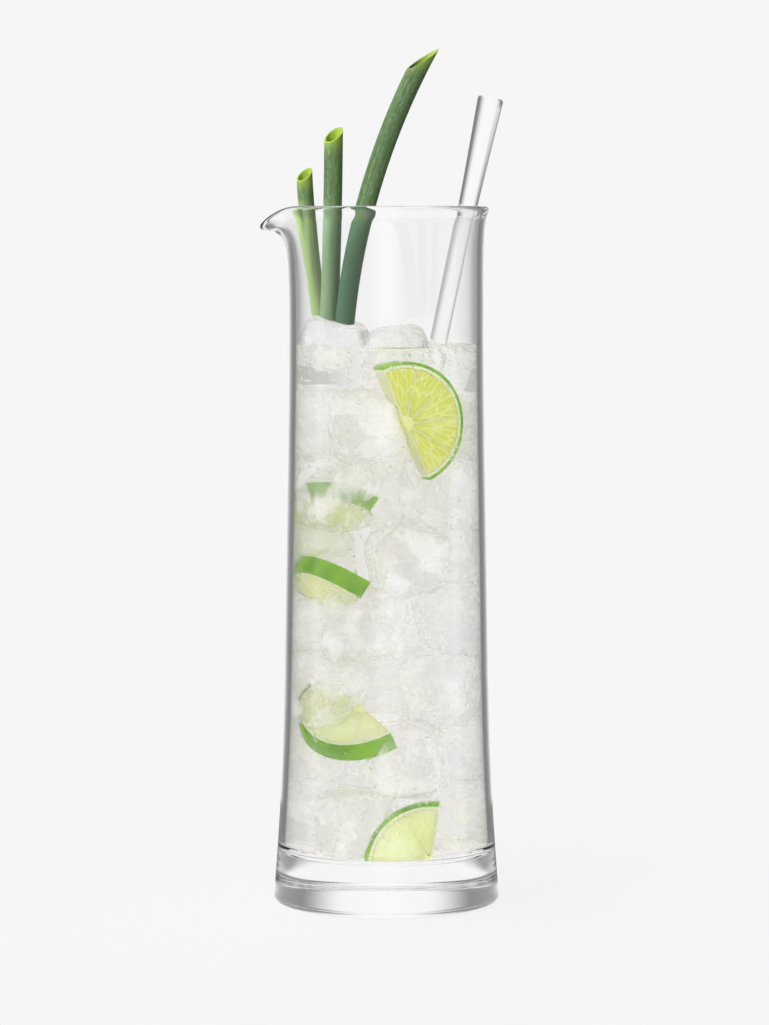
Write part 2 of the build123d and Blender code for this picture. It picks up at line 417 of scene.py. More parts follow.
def arc(centre, radius, start, end, count):
    """Points of an arc in the plane of radius and height, angles in radians."""
    angles = np.linspace(start, end, count)
    return [
        (centre[0] + radius * math.cos(angle), centre[1] + radius * math.sin(angle)) for angle in angles
    ]


def bezier(points, shares):
    """Points along a cubic curve."""
    a, b, c, d = (np.array(point) for point in points)
    return [a * (1 - t) ** 3 + 3 * b * t * (1 - t) ** 2 + 3 * c * t**2 * (1 - t) + d * t**3 for t in shares]


# The glass: slope and rounding of the foot, rounding of the floor, and the rim's and the lip's sections
FOOT_SLOPE = math.radians(5)
FOOT_ROUND = 3 * MM
FLOOR_ROUND = 6 * MM
RIM = {"lean": math.radians(12), "rise": 20 * MM, "pull": 10 * MM, "reach": 1.6 * MM}
LIP = {"lean": math.radians(70), "rise": 36 * MM, "pull": 9.5 * MM, "reach": 11.7 * MM}
LIP_DROP = 6.7 * MM
BEAD_HEIGHT = 4.5 * MM

# Steps of the profiles that are spun
FOOT_POINTS = 10
FLOOR_POINTS = 12
RIM_POINTS = 26
EDGE_POINTS = 11
WALL_STEP = 4 * MM
FIRST_STEP = 3 * MM


def side_radius(glass, height):
    """Outer radius of the glass from the table to the neck: a smooth spline through four stations."""
    z = np.array([0, glass.shin_height, glass.waist_height, glass.neck_height])
    r = np.array([glass.foot, glass.shin, glass.waist, glass.neck])
    h = np.diff(z)
    d = np.diff(r) / h
    first = -math.tan(FOOT_SLOPE)
    system = [[2 * (h[0] + h[1]), h[0]], [h[2], 2 * (h[1] + h[2])]]
    sums = [3 * (h[1] * d[0] + h[0] * d[1]) - h[1] * first, 3 * (h[2] * d[1] + h[1] * d[2])]
    slopes = [first, *np.linalg.solve(system, sums), 0.0]
    span = min(int(np.searchsorted(z, height, side="right")) - 1, 2)
    t = (height - z[span]) / h[span]
    return (
        r[span] * (1 + 2 * t) * (1 - t) ** 2
        + h[span] * slopes[span] * t * (1 - t) ** 2
        + r[span + 1] * t**2 * (3 - 2 * t)
        + h[span] * slopes[span + 1] * t**2 * (t - 1)
    )


def wall_corner(glass, base, inset, rounding):
    """Centre and wall angle of the rounded corner between a flat at a height and the wall above it."""
    height = base + rounding
    radius = side_radius(glass, height) - inset
    rise = side_radius(glass, height + MM) - side_radius(glass, height - MM)
    lean = math.atan2(-rise, 2 * MM)
    return (radius - rounding / math.cos(lean), height), lean


def rim_section(glass, share):
    """Section of the glass above the neck, outside up, inside down; share is 1 in the middle of the lip."""
    value = {key: RIM[key] + (LIP[key] - RIM[key]) * share for key in RIM}
    drop = LIP_DROP * share**2
    lean = value["lean"]
    spread = glass.wall * math.tan(lean / 2)
    along = np.array([math.sin(lean), math.cos(lean)])
    inward = np.array([-math.cos(lean), math.sin(lean)])
    half = glass.wall / 2
    middle = np.array([glass.neck + value["reach"] - half, glass.height - drop - half])
    outer = middle - inward * half
    inner = middle + inward * half
    up = np.array([0, 1])
    outer_neck = np.array([glass.neck, glass.neck_height])
    inner_neck = np.array([glass.neck - glass.wall, glass.neck_height])
    shares = 1 - np.linspace(1, 0, RIM_POINTS) ** 2
    pull = value["pull"]
    rise = value["rise"]
    outside = bezier([outer_neck, outer_neck + up * rise, outer - along * pull, outer], shares)
    for number, point in enumerate(outside):
        swell = max(0, 1 - (outer - point).dot(along) / BEAD_HEIGHT)
        outside[number] = point - inward * glass.bead * swell**2 * (3 - 2 * swell)
    width = half + glass.bead / 2
    crown = middle - inward * glass.bead / 2
    edge = [
        crown - inward * width * math.cos(turn) + along * half * math.sin(turn)
        for turn in np.linspace(0, math.pi, EDGE_POINTS)
    ]
    pull += spread
    rise += spread
    inside = bezier([inner, inner - along * pull, inner_neck + up * rise, inner_neck], 1 - shares[::-1])
    return [tuple(point) for point in outside + edge[1:-1] + inside]


def clear_glass(name, tint, ior):
    """Blown soda glass: clear and smooth, with the faint ripple that blowing leaves."""
    material = new_material(name)
    tree = material.node_tree
    place = add_node(tree, "ShaderNodeTexCoord")
    ripple = add_node(
        tree, "ShaderNodeTexNoise", {"Vector": place.outputs["Object"], "Scale": per_mm(28), "Detail": 1.0}
    )
    bump = add_node(
        tree, "ShaderNodeBump", {"Height": ripple.outputs["Fac"], "Strength": 0.15, "Distance": 0.15 * MM}
    )
    skin = add_node(
        tree,
        "ShaderNodeBsdfPrincipled",
        {
            "Base Color": paint(tint),
            "Roughness": 0.0,
            "IOR": ior,
            "Transmission Weight": 1.0,
            "Normal": bump.outputs["Normal"],
        },
    )
    add_node(tree, "ShaderNodeOutputMaterial", {"Surface": skin.outputs["BSDF"]})
    return material


class PITCHER_OT_blow_glass(bpy.types.Operator):
    """Spins the pitcher's profile and pulls its pouring lip"""

    bl_idname = "pitcher.blow_glass"
    bl_label = "Blow Glass"

    def execute(self, context):
        glass = context.scene.pitcher_glass
        foot, foot_lean = wall_corner(glass, 0, 0, FOOT_ROUND)
        floor, floor_lean = wall_corner(glass, glass.base, glass.wall, FLOOR_ROUND)
        outline = [(0, 0), (foot[0] - MM, 0)]
        outline += arc(foot, FOOT_ROUND, -math.pi / 2, foot_lean, FOOT_POINTS)
        heights = np.arange(2 * FOOT_ROUND, glass.neck_height - WALL_STEP / 2, WALL_STEP)
        outline += [(side_radius(glass, z), z) for z in heights]
        rim_start = len(outline)
        outline += rim_section(glass, 0)
        rim_end = len(outline)
        heights = np.arange(glass.neck_height - FIRST_STEP, floor[1] + WALL_STEP / 2, -WALL_STEP)
        outline += [(side_radius(glass, z) - glass.wall, z) for z in heights]
        outline += arc(floor, FLOOR_ROUND, floor_lean, -math.pi / 2, FLOOR_POINTS)
        outline += [(floor[0] - MM, glass.base), (0, glass.base)]
        piece = spun("blown_glass", [(r, 0, z) for r, z in outline], glass.columns)
        rim = np.array(outline[rim_start:rim_end])
        sections = {}
        for vertex in piece.data.vertices:
            x, y, z = vertex.co
            turn = (math.atan2(y, x) % math.tau - math.pi) / glass.lip_half_angle
            if z < glass.neck_height + 2 * MERGE_REACH or abs(turn) >= 1:
                continue
            share = round(math.cos(math.pi / 2 * turn) ** 2, 6)
            if share not in sections:
                sections[share] = rim_section(glass, share)
            number = int(np.argmin(np.hypot(rim[:, 0] - math.hypot(x, y), rim[:, 1] - z)))
            radius, height = sections[share][number]
            scale = radius / math.hypot(x, y)
            vertex.co = (x * scale, y * scale, height)
        piece.data.materials.append(clear_glass("Blown soda glass", glass.tint, GLASS_IOR))
        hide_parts("pitcher_glass")
        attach(piece, "pitcher")
        return {"FINISHED"}


# The rod: its radii, the rounding of its top, its grip's length and how it thickens
ROD_TIP = 3.3 * MM
ROD_NECK = 3.85 * MM
ROD_GRIP = 5.3 * MM
ROD_CROWN = 1.2 * MM
ROD_GRIP_LENGTH = 48 * MM
ROD_TAPER = 1.5
ROD_FLARE = 1.2
ROD_COLUMNS = 48


def stirrer_line():
    """Foot and direction of the stirrer."""
    joint = next(item for item in frame["joints"] if item["name"] == "stirrer_lift")
    line = Vector(joint["axis"]).normalized()
    cloud = np.array([vertex.co for vertex in frame["nodes"]["stirrer"].data.vertices])
    low = (cloud @ np.array(line)).min()
    middle = Vector(cloud.mean(axis=0))
    return middle + line * (low - middle.dot(line)), line


class PITCHER_OT_draw_stirrer(bpy.types.Operator):
    """Spins the glass rod that leans in the pitcher"""

    bl_idname = "pitcher.draw_stirrer"
    bl_label = "Draw Stirrer"

    def execute(self, context):
        glass = context.scene.pitcher_glass
        drink = context.scene.pitcher_drink
        foot, line = stirrer_line()
        cloud = np.array([vertex.co for vertex in frame["nodes"]["stirrer"].data.vertices])
        length = (cloud @ np.array(line)).max() - foot.dot(line)
        across = line.cross(Vector((0, 1, 0))).normalized()
        shape = [
            (ROD_TIP * math.sin(turn), ROD_TIP - ROD_TIP * math.cos(turn))
            for turn in np.linspace(0, math.pi / 2, 8)
        ]
        for share in np.linspace(0.03, 1, 40):
            height = ROD_TIP + (length - ROD_GRIP_LENGTH - ROD_TIP) * share
            shape.append((ROD_TIP + (ROD_NECK - ROD_TIP) * share**ROD_TAPER, height))
        for share in np.linspace(0.08, 1, 16):
            height = length - ROD_GRIP_LENGTH + (ROD_GRIP_LENGTH - ROD_CROWN) * share
            shape.append((ROD_NECK + (ROD_GRIP - ROD_NECK) * share**ROD_FLARE, height))
        shape += arc((ROD_GRIP - ROD_CROWN, length - ROD_CROWN), ROD_CROWN, 0.25, math.pi / 2, 6)
        shape += [(ROD_GRIP - 2 * ROD_CROWN, length), (0, length)]
        profile = [foot + across * r + line * h for r, h in shape]
        piece = spun("stirring_rod", profile, ROD_COLUMNS, foot, line)
        piece.data.materials.append(clear_glass("Drawn rod glass", glass.tint, ROD_IOR))
        piece.data.materials.append(clear_glass("Drawn rod glass in drink", glass.tint, ROD_IOR_IN_DRINK))
        for face in piece.data.polygons:
            face.material_index = 1 if face.center.z < drink.level else 0
        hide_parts("stirrer")
        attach(piece, "stirrer")
        return {"FINISHED"}


# The drink's surface by the glass: distances from the glass and how fast the climb fades, in millimetres
MENISCUS_STEPS = (0, 0.4, 0.8, 1.3, 2, 3, 4.5, 7)
MENISCUS_FADE = 1.4
DRINK_COLUMNS = 144


def sparkling_water(drink):
    """Sparkling water: clear, softly stirred, and milky in the depth from gas too fine to see."""
    material = new_material("Sparkling water")
    tree = material.node_tree
    place = add_node(tree, "ShaderNodeTexCoord")
    swirl = add_node(
        tree, "ShaderNodeTexNoise", {"Vector": place.outputs["Object"], "Scale": per_mm(14), "Detail": 2.0}
    )
    bump = add_node(
        tree, "ShaderNodeBump", {"Height": swirl.outputs["Fac"], "Strength": 0.1, "Distance": 0.3 * MM}
    )
    water = add_node(
        tree,
        "ShaderNodeBsdfPrincipled",
        {
            "Base Color": paint(drink.tint),
            "Roughness": 0.0,
            "IOR": WATER_IOR,
            "Transmission Weight": 1.0,
            "Normal": bump.outputs["Normal"],
        },
    )
    haze = add_node(
        tree, "ShaderNodeVolumeScatter", {"Color": WHITE, "Density": drink.haze, "Anisotropy": 0.2}
    )
    add_node(
        tree,
        "ShaderNodeOutputMaterial",
        {"Surface": water.outputs["BSDF"], "Volume": haze.outputs["Volume"]},
    )
    return material


class PITCHER_OT_pour_drink(bpy.types.Operator):
    """Fills the pitcher with the clear drink"""

    bl_idname = "pitcher.pour_drink"
    bl_label = "Pour Drink"

    def execute(self, context):
        glass = context.scene.pitcher_glass
        drink = context.scene.pitcher_drink
        inset = glass.wall + drink.film
        floor, lean = wall_corner(glass, glass.base, glass.wall, FLOOR_ROUND)
        bottom = glass.base + drink.film
        outline = [(0, bottom), (floor[0] - MM, bottom)]
        outline += arc(floor, FLOOR_ROUND - drink.film, -math.pi / 2, lean, FLOOR_POINTS)
        heights = np.arange(floor[1] + FIRST_STEP, drink.level - WALL_STEP / 2, WALL_STEP)
        outline += [(side_radius(glass, z) - inset, z) for z in heights]
        edge = side_radius(glass, drink.level) - inset
        for inward in MENISCUS_STEPS:
            rise = drink.meniscus * math.exp(-inward / MENISCUS_FADE)
            outline.append((edge - inward * MM, drink.level + rise))
        outline += [(0, drink.level)]
        piece = spun("poured_drink", [(r, 0, z) for r, z in outline], DRINK_COLUMNS)
        piece.data.materials.append(sparkling_water(drink))
        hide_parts("drink")
        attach(piece, "iced_drink")
        return {"FINISHED"}


# The ice: how wide its lumps and melted hollows are
LUMP_SIZE = 22 * MM
HOLLOW_SIZE = 9 * MM


def ice_material(name, frost, ior, cloud_low, cloud_high):
    """Melting ice: wet and clear outside, with cloudy veils of trapped gas."""
    material = new_material(name)
    tree = material.node_tree
    place = add_node(tree, "ShaderNodeTexCoord")
    veils = add_node(
        tree,
        "ShaderNodeTexNoise",
        {
            "Vector": place.outputs["Object"],
            "Scale": per_mm(13),
            "Detail": 3.0,
            "Roughness": 0.5,
            "Distortion": 0.3,
        },
    )
    clear = add_node(
        tree,
        "ShaderNodeMapRange",
        {
            "Value": veils.outputs["Fac"],
            "From Min": 0.4,
            "From Max": 0.62,
            "To Min": cloud_high,
            "To Max": cloud_low,
        },
        interpolation_type="SMOOTHSTEP",
    )
    rough = add_node(
        tree,
        "ShaderNodeMapRange",
        {"Value": veils.outputs["Fac"], "From Min": 0.38, "From Max": 0.65, "To Min": 0.03, "To Max": 0.3},
    )
    grain = add_node(
        tree, "ShaderNodeTexNoise", {"Vector": place.outputs["Object"], "Scale": per_mm(2.2), "Detail": 4.0}
    )
    bump = add_node(
        tree, "ShaderNodeBump", {"Height": grain.outputs["Fac"], "Strength": 0.35, "Distance": 0.4 * MM}
    )
    ice = add_node(
        tree,
        "ShaderNodeBsdfPrincipled",
        {
            "Base Color": paint(frost),
            "Roughness": rough.outputs["Result"],
            "IOR": ior,
            "Transmission Weight": clear.outputs["Result"],
            "Normal": bump.outputs["Normal"],
        },
    )
    add_node(tree, "ShaderNodeOutputMaterial", {"Surface": ice.outputs["BSDF"]})
    return material


def keep_inside(piece, glass, drink):
    """Draws a piece in where it would stand in the glass or in the stirrer."""
    foot, line = stirrer_line()
    floor = glass.base + drink.film + ICE_GAP
    for vertex in piece.data.vertices:
        x, y, z = vertex.co
        z = max(z, floor)
        room = side_radius(glass, z) - glass.wall - drink.film - ICE_GAP
        corner = max(0, glass.base + FLOOR_ROUND - z)
        room -= FLOOR_ROUND - math.sqrt(FLOOR_ROUND**2 - corner**2)
        scale = min(1, room / math.hypot(x, y))
        place = Vector((x * scale, y * scale, z))
        nearest = foot + line * (place - foot).dot(line)
        away = place - nearest
        if away.length < STIRRER_ROOM:
            place = nearest + away.normalized() * STIRRER_ROOM
        vertex.co = place


class PITCHER_OT_melt_ice(bpy.types.Operator):
    """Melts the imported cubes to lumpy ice"""

    bl_idname = "pitcher.melt_ice"
    bl_label = "Melt Ice"

    def execute(self, context):
        ice = context.scene.pitcher_ice
        drink = context.scene.pitcher_drink
        wet = ice_material("Wet cloudy ice", ice.frost, ICE_IOR_IN_DRINK, 0.25, 0.85)
        dry = ice_material("Melting ice in air", ice.frost, ICE_IOR, 0.7, 0.95)
        lumps = clouds("Melted lumps", LUMP_SIZE)
        hollows = clouds("Melted hollows", HOLLOW_SIZE)
        for node in sorted(name for name in frame["nodes"] if name.startswith("ice_")):
            piece = merged_copy(node, node.replace("ice_", "melted_"))
            modify(piece, "REMESH", mode="VOXEL", voxel_size=ice.voxel)
            modify(piece, "DISPLACE", texture=lumps, strength=ice.swell, mid_level=0.3)
            modify(piece, "SMOOTH", factor=0.5, iterations=8)
            modify(piece, "DISPLACE", texture=hollows, strength=ice.melt, mid_level=0.55)
            modify(piece, "SMOOTH", factor=0.5, iterations=3)
            keep_inside(piece, context.scene.pitcher_glass, drink)
            bpy.ops.object.shade_smooth()
            piece.data.materials.append(wet)
            piece.data.materials.append(dry)
            for face in piece.data.polygons:
                face.material_index = 1 if face.center.z > drink.level else 0
            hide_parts(node)
            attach(piece, "iced_drink")
        return {"FINISHED"}


# The juice sacs: how many lie side by side in a radian, their length and depth in millimetres
SACS_PER_RADIAN = 9.0
SAC_LENGTH = 7.14
SAC_DEPTH = 2.5
SAC_VOXEL = 0.45 * MM
SAC_SIZE = 2.2 * MM
SAC_SWELL = 0.7 * MM
RIND_BEVEL = 0.25 * MM
RIND_ANGLE = math.radians(50)


def slice_axes(azimuth, tilt, start):
    """The two axes in a slice's face, from where its wedge starts, and the way that it faces."""
    turn, rise = math.radians(azimuth), math.radians(tilt)
    facing = Vector((math.cos(turn) * math.cos(rise), math.sin(turn) * math.cos(rise), math.sin(rise)))
    level = Vector((-math.sin(turn), math.cos(turn), 0))
    upward = facing.cross(level)
    angle = math.radians(start)
    first = level * math.cos(angle) + upward * math.sin(angle)
    second = upward * math.cos(angle) - level * math.sin(angle)
    return first, second, facing


def mark_slice(piece, name, radius):
    """Gives a piece of lime its place in the slice, in millimetres from the slice's middle."""
    first, second, facing = slice_axes(*LIMES[name])
    rind = np.array([vertex.co for vertex in frame["nodes"][f"lime_{name}_peel"].data.vertices])
    places = [
        (rind @ np.array(first)).max() - radius,
        (rind @ np.array(second)).max() - radius,
        (rind @ np.array(facing)).mean(),
    ]
    mesh = piece.data
    cloud = np.empty(len(mesh.vertices) * 3, np.float32)
    mesh.vertices.foreach_get("co", cloud)
    axes = np.array([first, second, facing])
    local = (cloud.reshape(-1, 3) @ axes.T - np.array(places)) / MM
    mark = mesh.attributes.new("slice_place", "FLOAT_VECTOR", "POINT")
    mark.data.foreach_set("vector", local.astype(np.float32).ravel())
    pale = mesh.attributes.new("slice_pale", "FLOAT", "POINT")
    pale.data.foreach_set("value", np.full(len(mesh.vertices), PALENESS[name], np.float32))


def lime_peel(lime):
    """Lime peel: a waxy green skin pitted with oil glands about 1 mm apart."""
    material = new_material("Lime peel")
    tree = material.node_tree
    place = add_node(tree, "ShaderNodeTexCoord")
    patches = add_node(
        tree, "ShaderNodeTexNoise", {"Vector": place.outputs["Object"], "Scale": per_mm(9), "Detail": 3.0}
    )
    mottle = add_node(
        tree,
        "ShaderNodeMapRange",
        {
            "Value": patches.outputs["Fac"],
            "From Min": 0.35,
            "From Max": 0.65,
            "To Min": 0.0,
            "To Max": 0.75,
        },
    )
    colour = add_node(
        tree,
        "ShaderNodeMix",
        {0: mottle.outputs["Result"], 6: paint(lime.peel), 7: paint(lime.peel_dark)},
        data_type="RGBA",
    )
    glands = add_node(
        tree,
        "ShaderNodeTexVoronoi",
        {"Vector": place.outputs["Object"], "Scale": per_mm(1.1)},
        feature="F1",
    )
    bump = add_node(
        tree,
        "ShaderNodeBump",
        {"Height": glands.outputs["Distance"], "Strength": 0.4, "Distance": 0.3 * MM},
    )
    peel = add_node(
        tree,
        "ShaderNodeBsdfPrincipled",
        {
            "Base Color": colour.outputs[2],
            "Roughness": 0.32,
            "IOR": 1.45,
            "Subsurface Weight": 0.25,
            "Subsurface Radius": (0.6, 1.0, 0.25),
            "Subsurface Scale": 1.5 * MM,
            "Normal": bump.outputs["Normal"],
        },
    )
    add_node(tree, "ShaderNodeOutputMaterial", {"Surface": peel.outputs["BSDF"]})
    return material


def lime_pith(lime):
    """Pith and membranes: a pale spongy layer that lets light through."""
    material = new_material("Lime pith")
    tree = material.node_tree
    place = add_node(tree, "ShaderNodeTexCoord")
    sponge = add_node(
        tree, "ShaderNodeTexNoise", {"Vector": place.outputs["Object"], "Scale": per_mm(0.9), "Detail": 4.0}
    )
    shade = add_node(
        tree,
        "ShaderNodeMapRange",
        {"Value": sponge.outputs["Fac"], "From Min": 0.3, "From Max": 0.7, "To Min": 0.0, "To Max": 0.35},
    )
    rind = add_node(
        tree,
        "ShaderNodeMix",
        {0: shade.outputs["Result"], 6: paint(lime.pith), 7: paint(lime.flesh_pale)},
        data_type="RGBA",
    )
    slice_place = add_node(tree, "ShaderNodeAttribute", attribute_name="slice_place")
    flat = add_node(
        tree, "ShaderNodeVectorMath", {0: slice_place.outputs["Vector"], 1: (1, 1, 0)}, operation="MULTIPLY"
    )
    reach = add_node(tree, "ShaderNodeVectorMath", {0: flat.outputs["Vector"]}, operation="LENGTH")
    outer = add_node(
        tree, "ShaderNodeMapRange", {"Value": reach.outputs["Value"], "From Min": 19.0, "From Max": 22.0}
    )
    membrane = add_node(
        tree, "ShaderNodeMix", {0: 0.25, 6: paint(lime.flesh_pale), 7: paint(lime.pith)}, data_type="RGBA"
    )
    colour = add_node(
        tree,
        "ShaderNodeMix",
        {0: outer.outputs["Result"], 6: membrane.outputs[2], 7: rind.outputs[2]},
        data_type="RGBA",
    )
    bump = add_node(
        tree, "ShaderNodeBump", {"Height": sponge.outputs["Fac"], "Strength": 0.3, "Distance": 0.2 * MM}
    )
    pith = add_node(
        tree,
        "ShaderNodeBsdfPrincipled",
        {
            "Base Color": colour.outputs[2],
            "Roughness": 0.5,
            "IOR": 1.4,
            "Subsurface Weight": 0.5,
            "Subsurface Radius": (1.0, 1.0, 0.5),
            "Subsurface Scale": 2.5 * MM,
            "Normal": bump.outputs["Normal"],
        },
    )
    add_node(tree, "ShaderNodeOutputMaterial", {"Surface": pith.outputs["BSDF"]})
    return material


def lime_flesh(lime):
    """Juice sacs: long wet drops that point to the middle of the slice, about 1.6 mm wide and 7 mm long."""
    material = new_material("Lime flesh")
    tree = material.node_tree
    place = add_node(tree, "ShaderNodeAttribute", attribute_name="slice_place")
    parts = add_node(tree, "ShaderNodeSeparateXYZ", {"Vector": place.outputs["Vector"]})
    angle = add_node(
        tree, "ShaderNodeMath", {0: parts.outputs["Y"], 1: parts.outputs["X"]}, operation="ARCTAN2"
    )
    round_way = add_node(
        tree, "ShaderNodeMath", {0: angle.outputs["Value"], 1: SACS_PER_RADIAN}, operation="MULTIPLY"
    )
    flat = add_node(tree, "ShaderNodeCombineXYZ", {"X": parts.outputs["X"], "Y": parts.outputs["Y"]})
    reach = add_node(tree, "ShaderNodeVectorMath", {0: flat.outputs["Vector"]}, operation="LENGTH")
    out_way = add_node(
        tree, "ShaderNodeMath", {0: reach.outputs["Value"], 1: 1 / SAC_LENGTH}, operation="MULTIPLY"
    )
    deep_way = add_node(
        tree, "ShaderNodeMath", {0: parts.outputs["Z"], 1: 1 / SAC_DEPTH}, operation="MULTIPLY"
    )
    sac_place = add_node(
        tree,
        "ShaderNodeCombineXYZ",
        {"X": round_way.outputs["Value"], "Y": out_way.outputs["Value"], "Z": deep_way.outputs["Value"]},
    )
    sacs = add_node(
        tree,
        "ShaderNodeTexVoronoi",
        {"Vector": sac_place.outputs["Vector"], "Scale": 1.0},
        feature="DISTANCE_TO_EDGE",
    )
    skin = add_node(
        tree,
        "ShaderNodeMapRange",
        {
            "Value": sacs.outputs["Distance"],
            "From Min": 0.0,
            "From Max": 0.16,
            "To Min": 1.0,
            "To Max": 0.0,
        },
    )
    juice = add_node(
        tree,
        "ShaderNodeMix",
        {0: skin.outputs["Result"], 6: paint(lime.flesh), 7: paint(lime.flesh_pale)},
        data_type="RGBA",
    )
    patches = add_node(
        tree, "ShaderNodeTexNoise", {"Vector": place.outputs["Vector"], "Scale": 1 / 14, "Detail": 1.0}
    )
    # Each slice's set paleness and the random patches mix the flesh towards the pith colour
    slice_paleness = add_node(tree, "ShaderNodeAttribute", attribute_name="slice_pale")
    patches_and_paleness = add_node(
        tree, "ShaderNodeMath", {0: patches.outputs["Fac"], 1: slice_paleness.outputs["Fac"]}, operation="ADD"
    )
    share = add_node(
        tree, "ShaderNodeMapRange", {"Value": patches_and_paleness.outputs["Value"], "From Min": 0.45, "From Max": 1.25}
    )
    colour = add_node(
        tree,
        "ShaderNodeMix",
        {0: share.outputs["Result"], 6: juice.outputs[2], 7: paint(lime.pith)},
        data_type="RGBA",
    )
    bump = add_node(
        tree, "ShaderNodeBump", {"Height": sacs.outputs["Distance"], "Strength": 0.4, "Distance": 0.4 * MM}
    )
    flesh = add_node(
        tree,
        "ShaderNodeBsdfPrincipled",
        {
            "Base Color": colour.outputs[2],
            "Roughness": 0.22,
            "IOR": 1.38,
            "Subsurface Weight": 0.6,
            "Subsurface Radius": (1.0, 1.0, 0.35),
            "Subsurface Scale": 4 * MM,
            "Normal": bump.outputs["Normal"],
        },
    )
    add_node(tree, "ShaderNodeOutputMaterial", {"Surface": flesh.outputs["BSDF"]})
    return material


class PITCHER_OT_cut_limes(bpy.types.Operator):
    """Dresses the lime slices: beveled peel and pith, and swollen flesh"""

    bl_idname = "pitcher.cut_limes"
    bl_label = "Cut Limes"

    def execute(self, context):
        lime = context.scene.pitcher_lime
        finishes = {"peel": lime_peel(lime), "pith": lime_pith(lime), "segments": lime_flesh(lime)}
        sacs = clouds("Juice sacs", SAC_SIZE)
        for name in LIMES:
            for layer, material in finishes.items():
                node = f"lime_{name}_{layer}"
                piece = merged_copy(node, f"{name}_slice_{layer}")
                if layer == "segments":
                    modify(piece, "REMESH", mode="VOXEL", voxel_size=SAC_VOXEL)
                    modify(piece, "SMOOTH", factor=0.5, iterations=3)
                    modify(piece, "DISPLACE", texture=sacs, strength=SAC_SWELL, mid_level=0.4)
                    bpy.ops.object.shade_smooth()
                else:
                    bpy.ops.object.mode_set(mode="EDIT")
                    bpy.ops.mesh.select_all(action="SELECT")
                    bpy.ops.mesh.dissolve_limited(angle_limit=math.radians(1))
                    bpy.ops.object.mode_set(mode="OBJECT")
                    modify(
                        piece,
                        "BEVEL",
                        width=RIND_BEVEL,
                        segments=2,
                        limit_method="ANGLE",
                        angle_limit=RIND_ANGLE,
                    )
                    bpy.ops.object.shade_smooth_by_angle(angle=RIND_ANGLE)
                mark_slice(piece, name, lime.radius)
                piece.data.materials.append(material)
                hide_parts(node)
                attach(piece, "iced_drink")
        return {"FINISHED"}


# The leaves: where along a leaf its stalk turns green and how long its tip with painted light is, in
# millimetres
STALK_END = 40.0
LEAF_START = 52.0
TIP_LENGTH = 13
HALF_WAY_REACH = 10
SKIN_SHARPNESS = math.radians(30)
SMOOTH_ANGLE = math.radians(40)


def mark_leaf(piece):
    """Gives a leaf its place as if it were straight, in millimetres: across, aside and along. Returns it."""
    mesh = piece.data
    cloud = np.empty(len(mesh.vertices) * 3, np.float32)
    mesh.vertices.foreach_get("co", cloud)
    x, y, z = cloud.reshape(-1, 3).T / MM
    bend = np.polyfit(z, x, 2)
    sway = np.polyfit(z, y, 2)
    lean = np.arctan(np.polyval(np.polyder(bend), z))
    across = (x - np.polyval(bend, z)) * np.cos(lean)
    local = np.column_stack([across, y - np.polyval(sway, z), (z - z.min()) / np.cos(lean).mean()])
    mark = mesh.attributes.new("leaf_place", "FLOAT_VECTOR", "POINT")
    mark.data.foreach_set("vector", local.astype(np.float32).ravel())
    return local


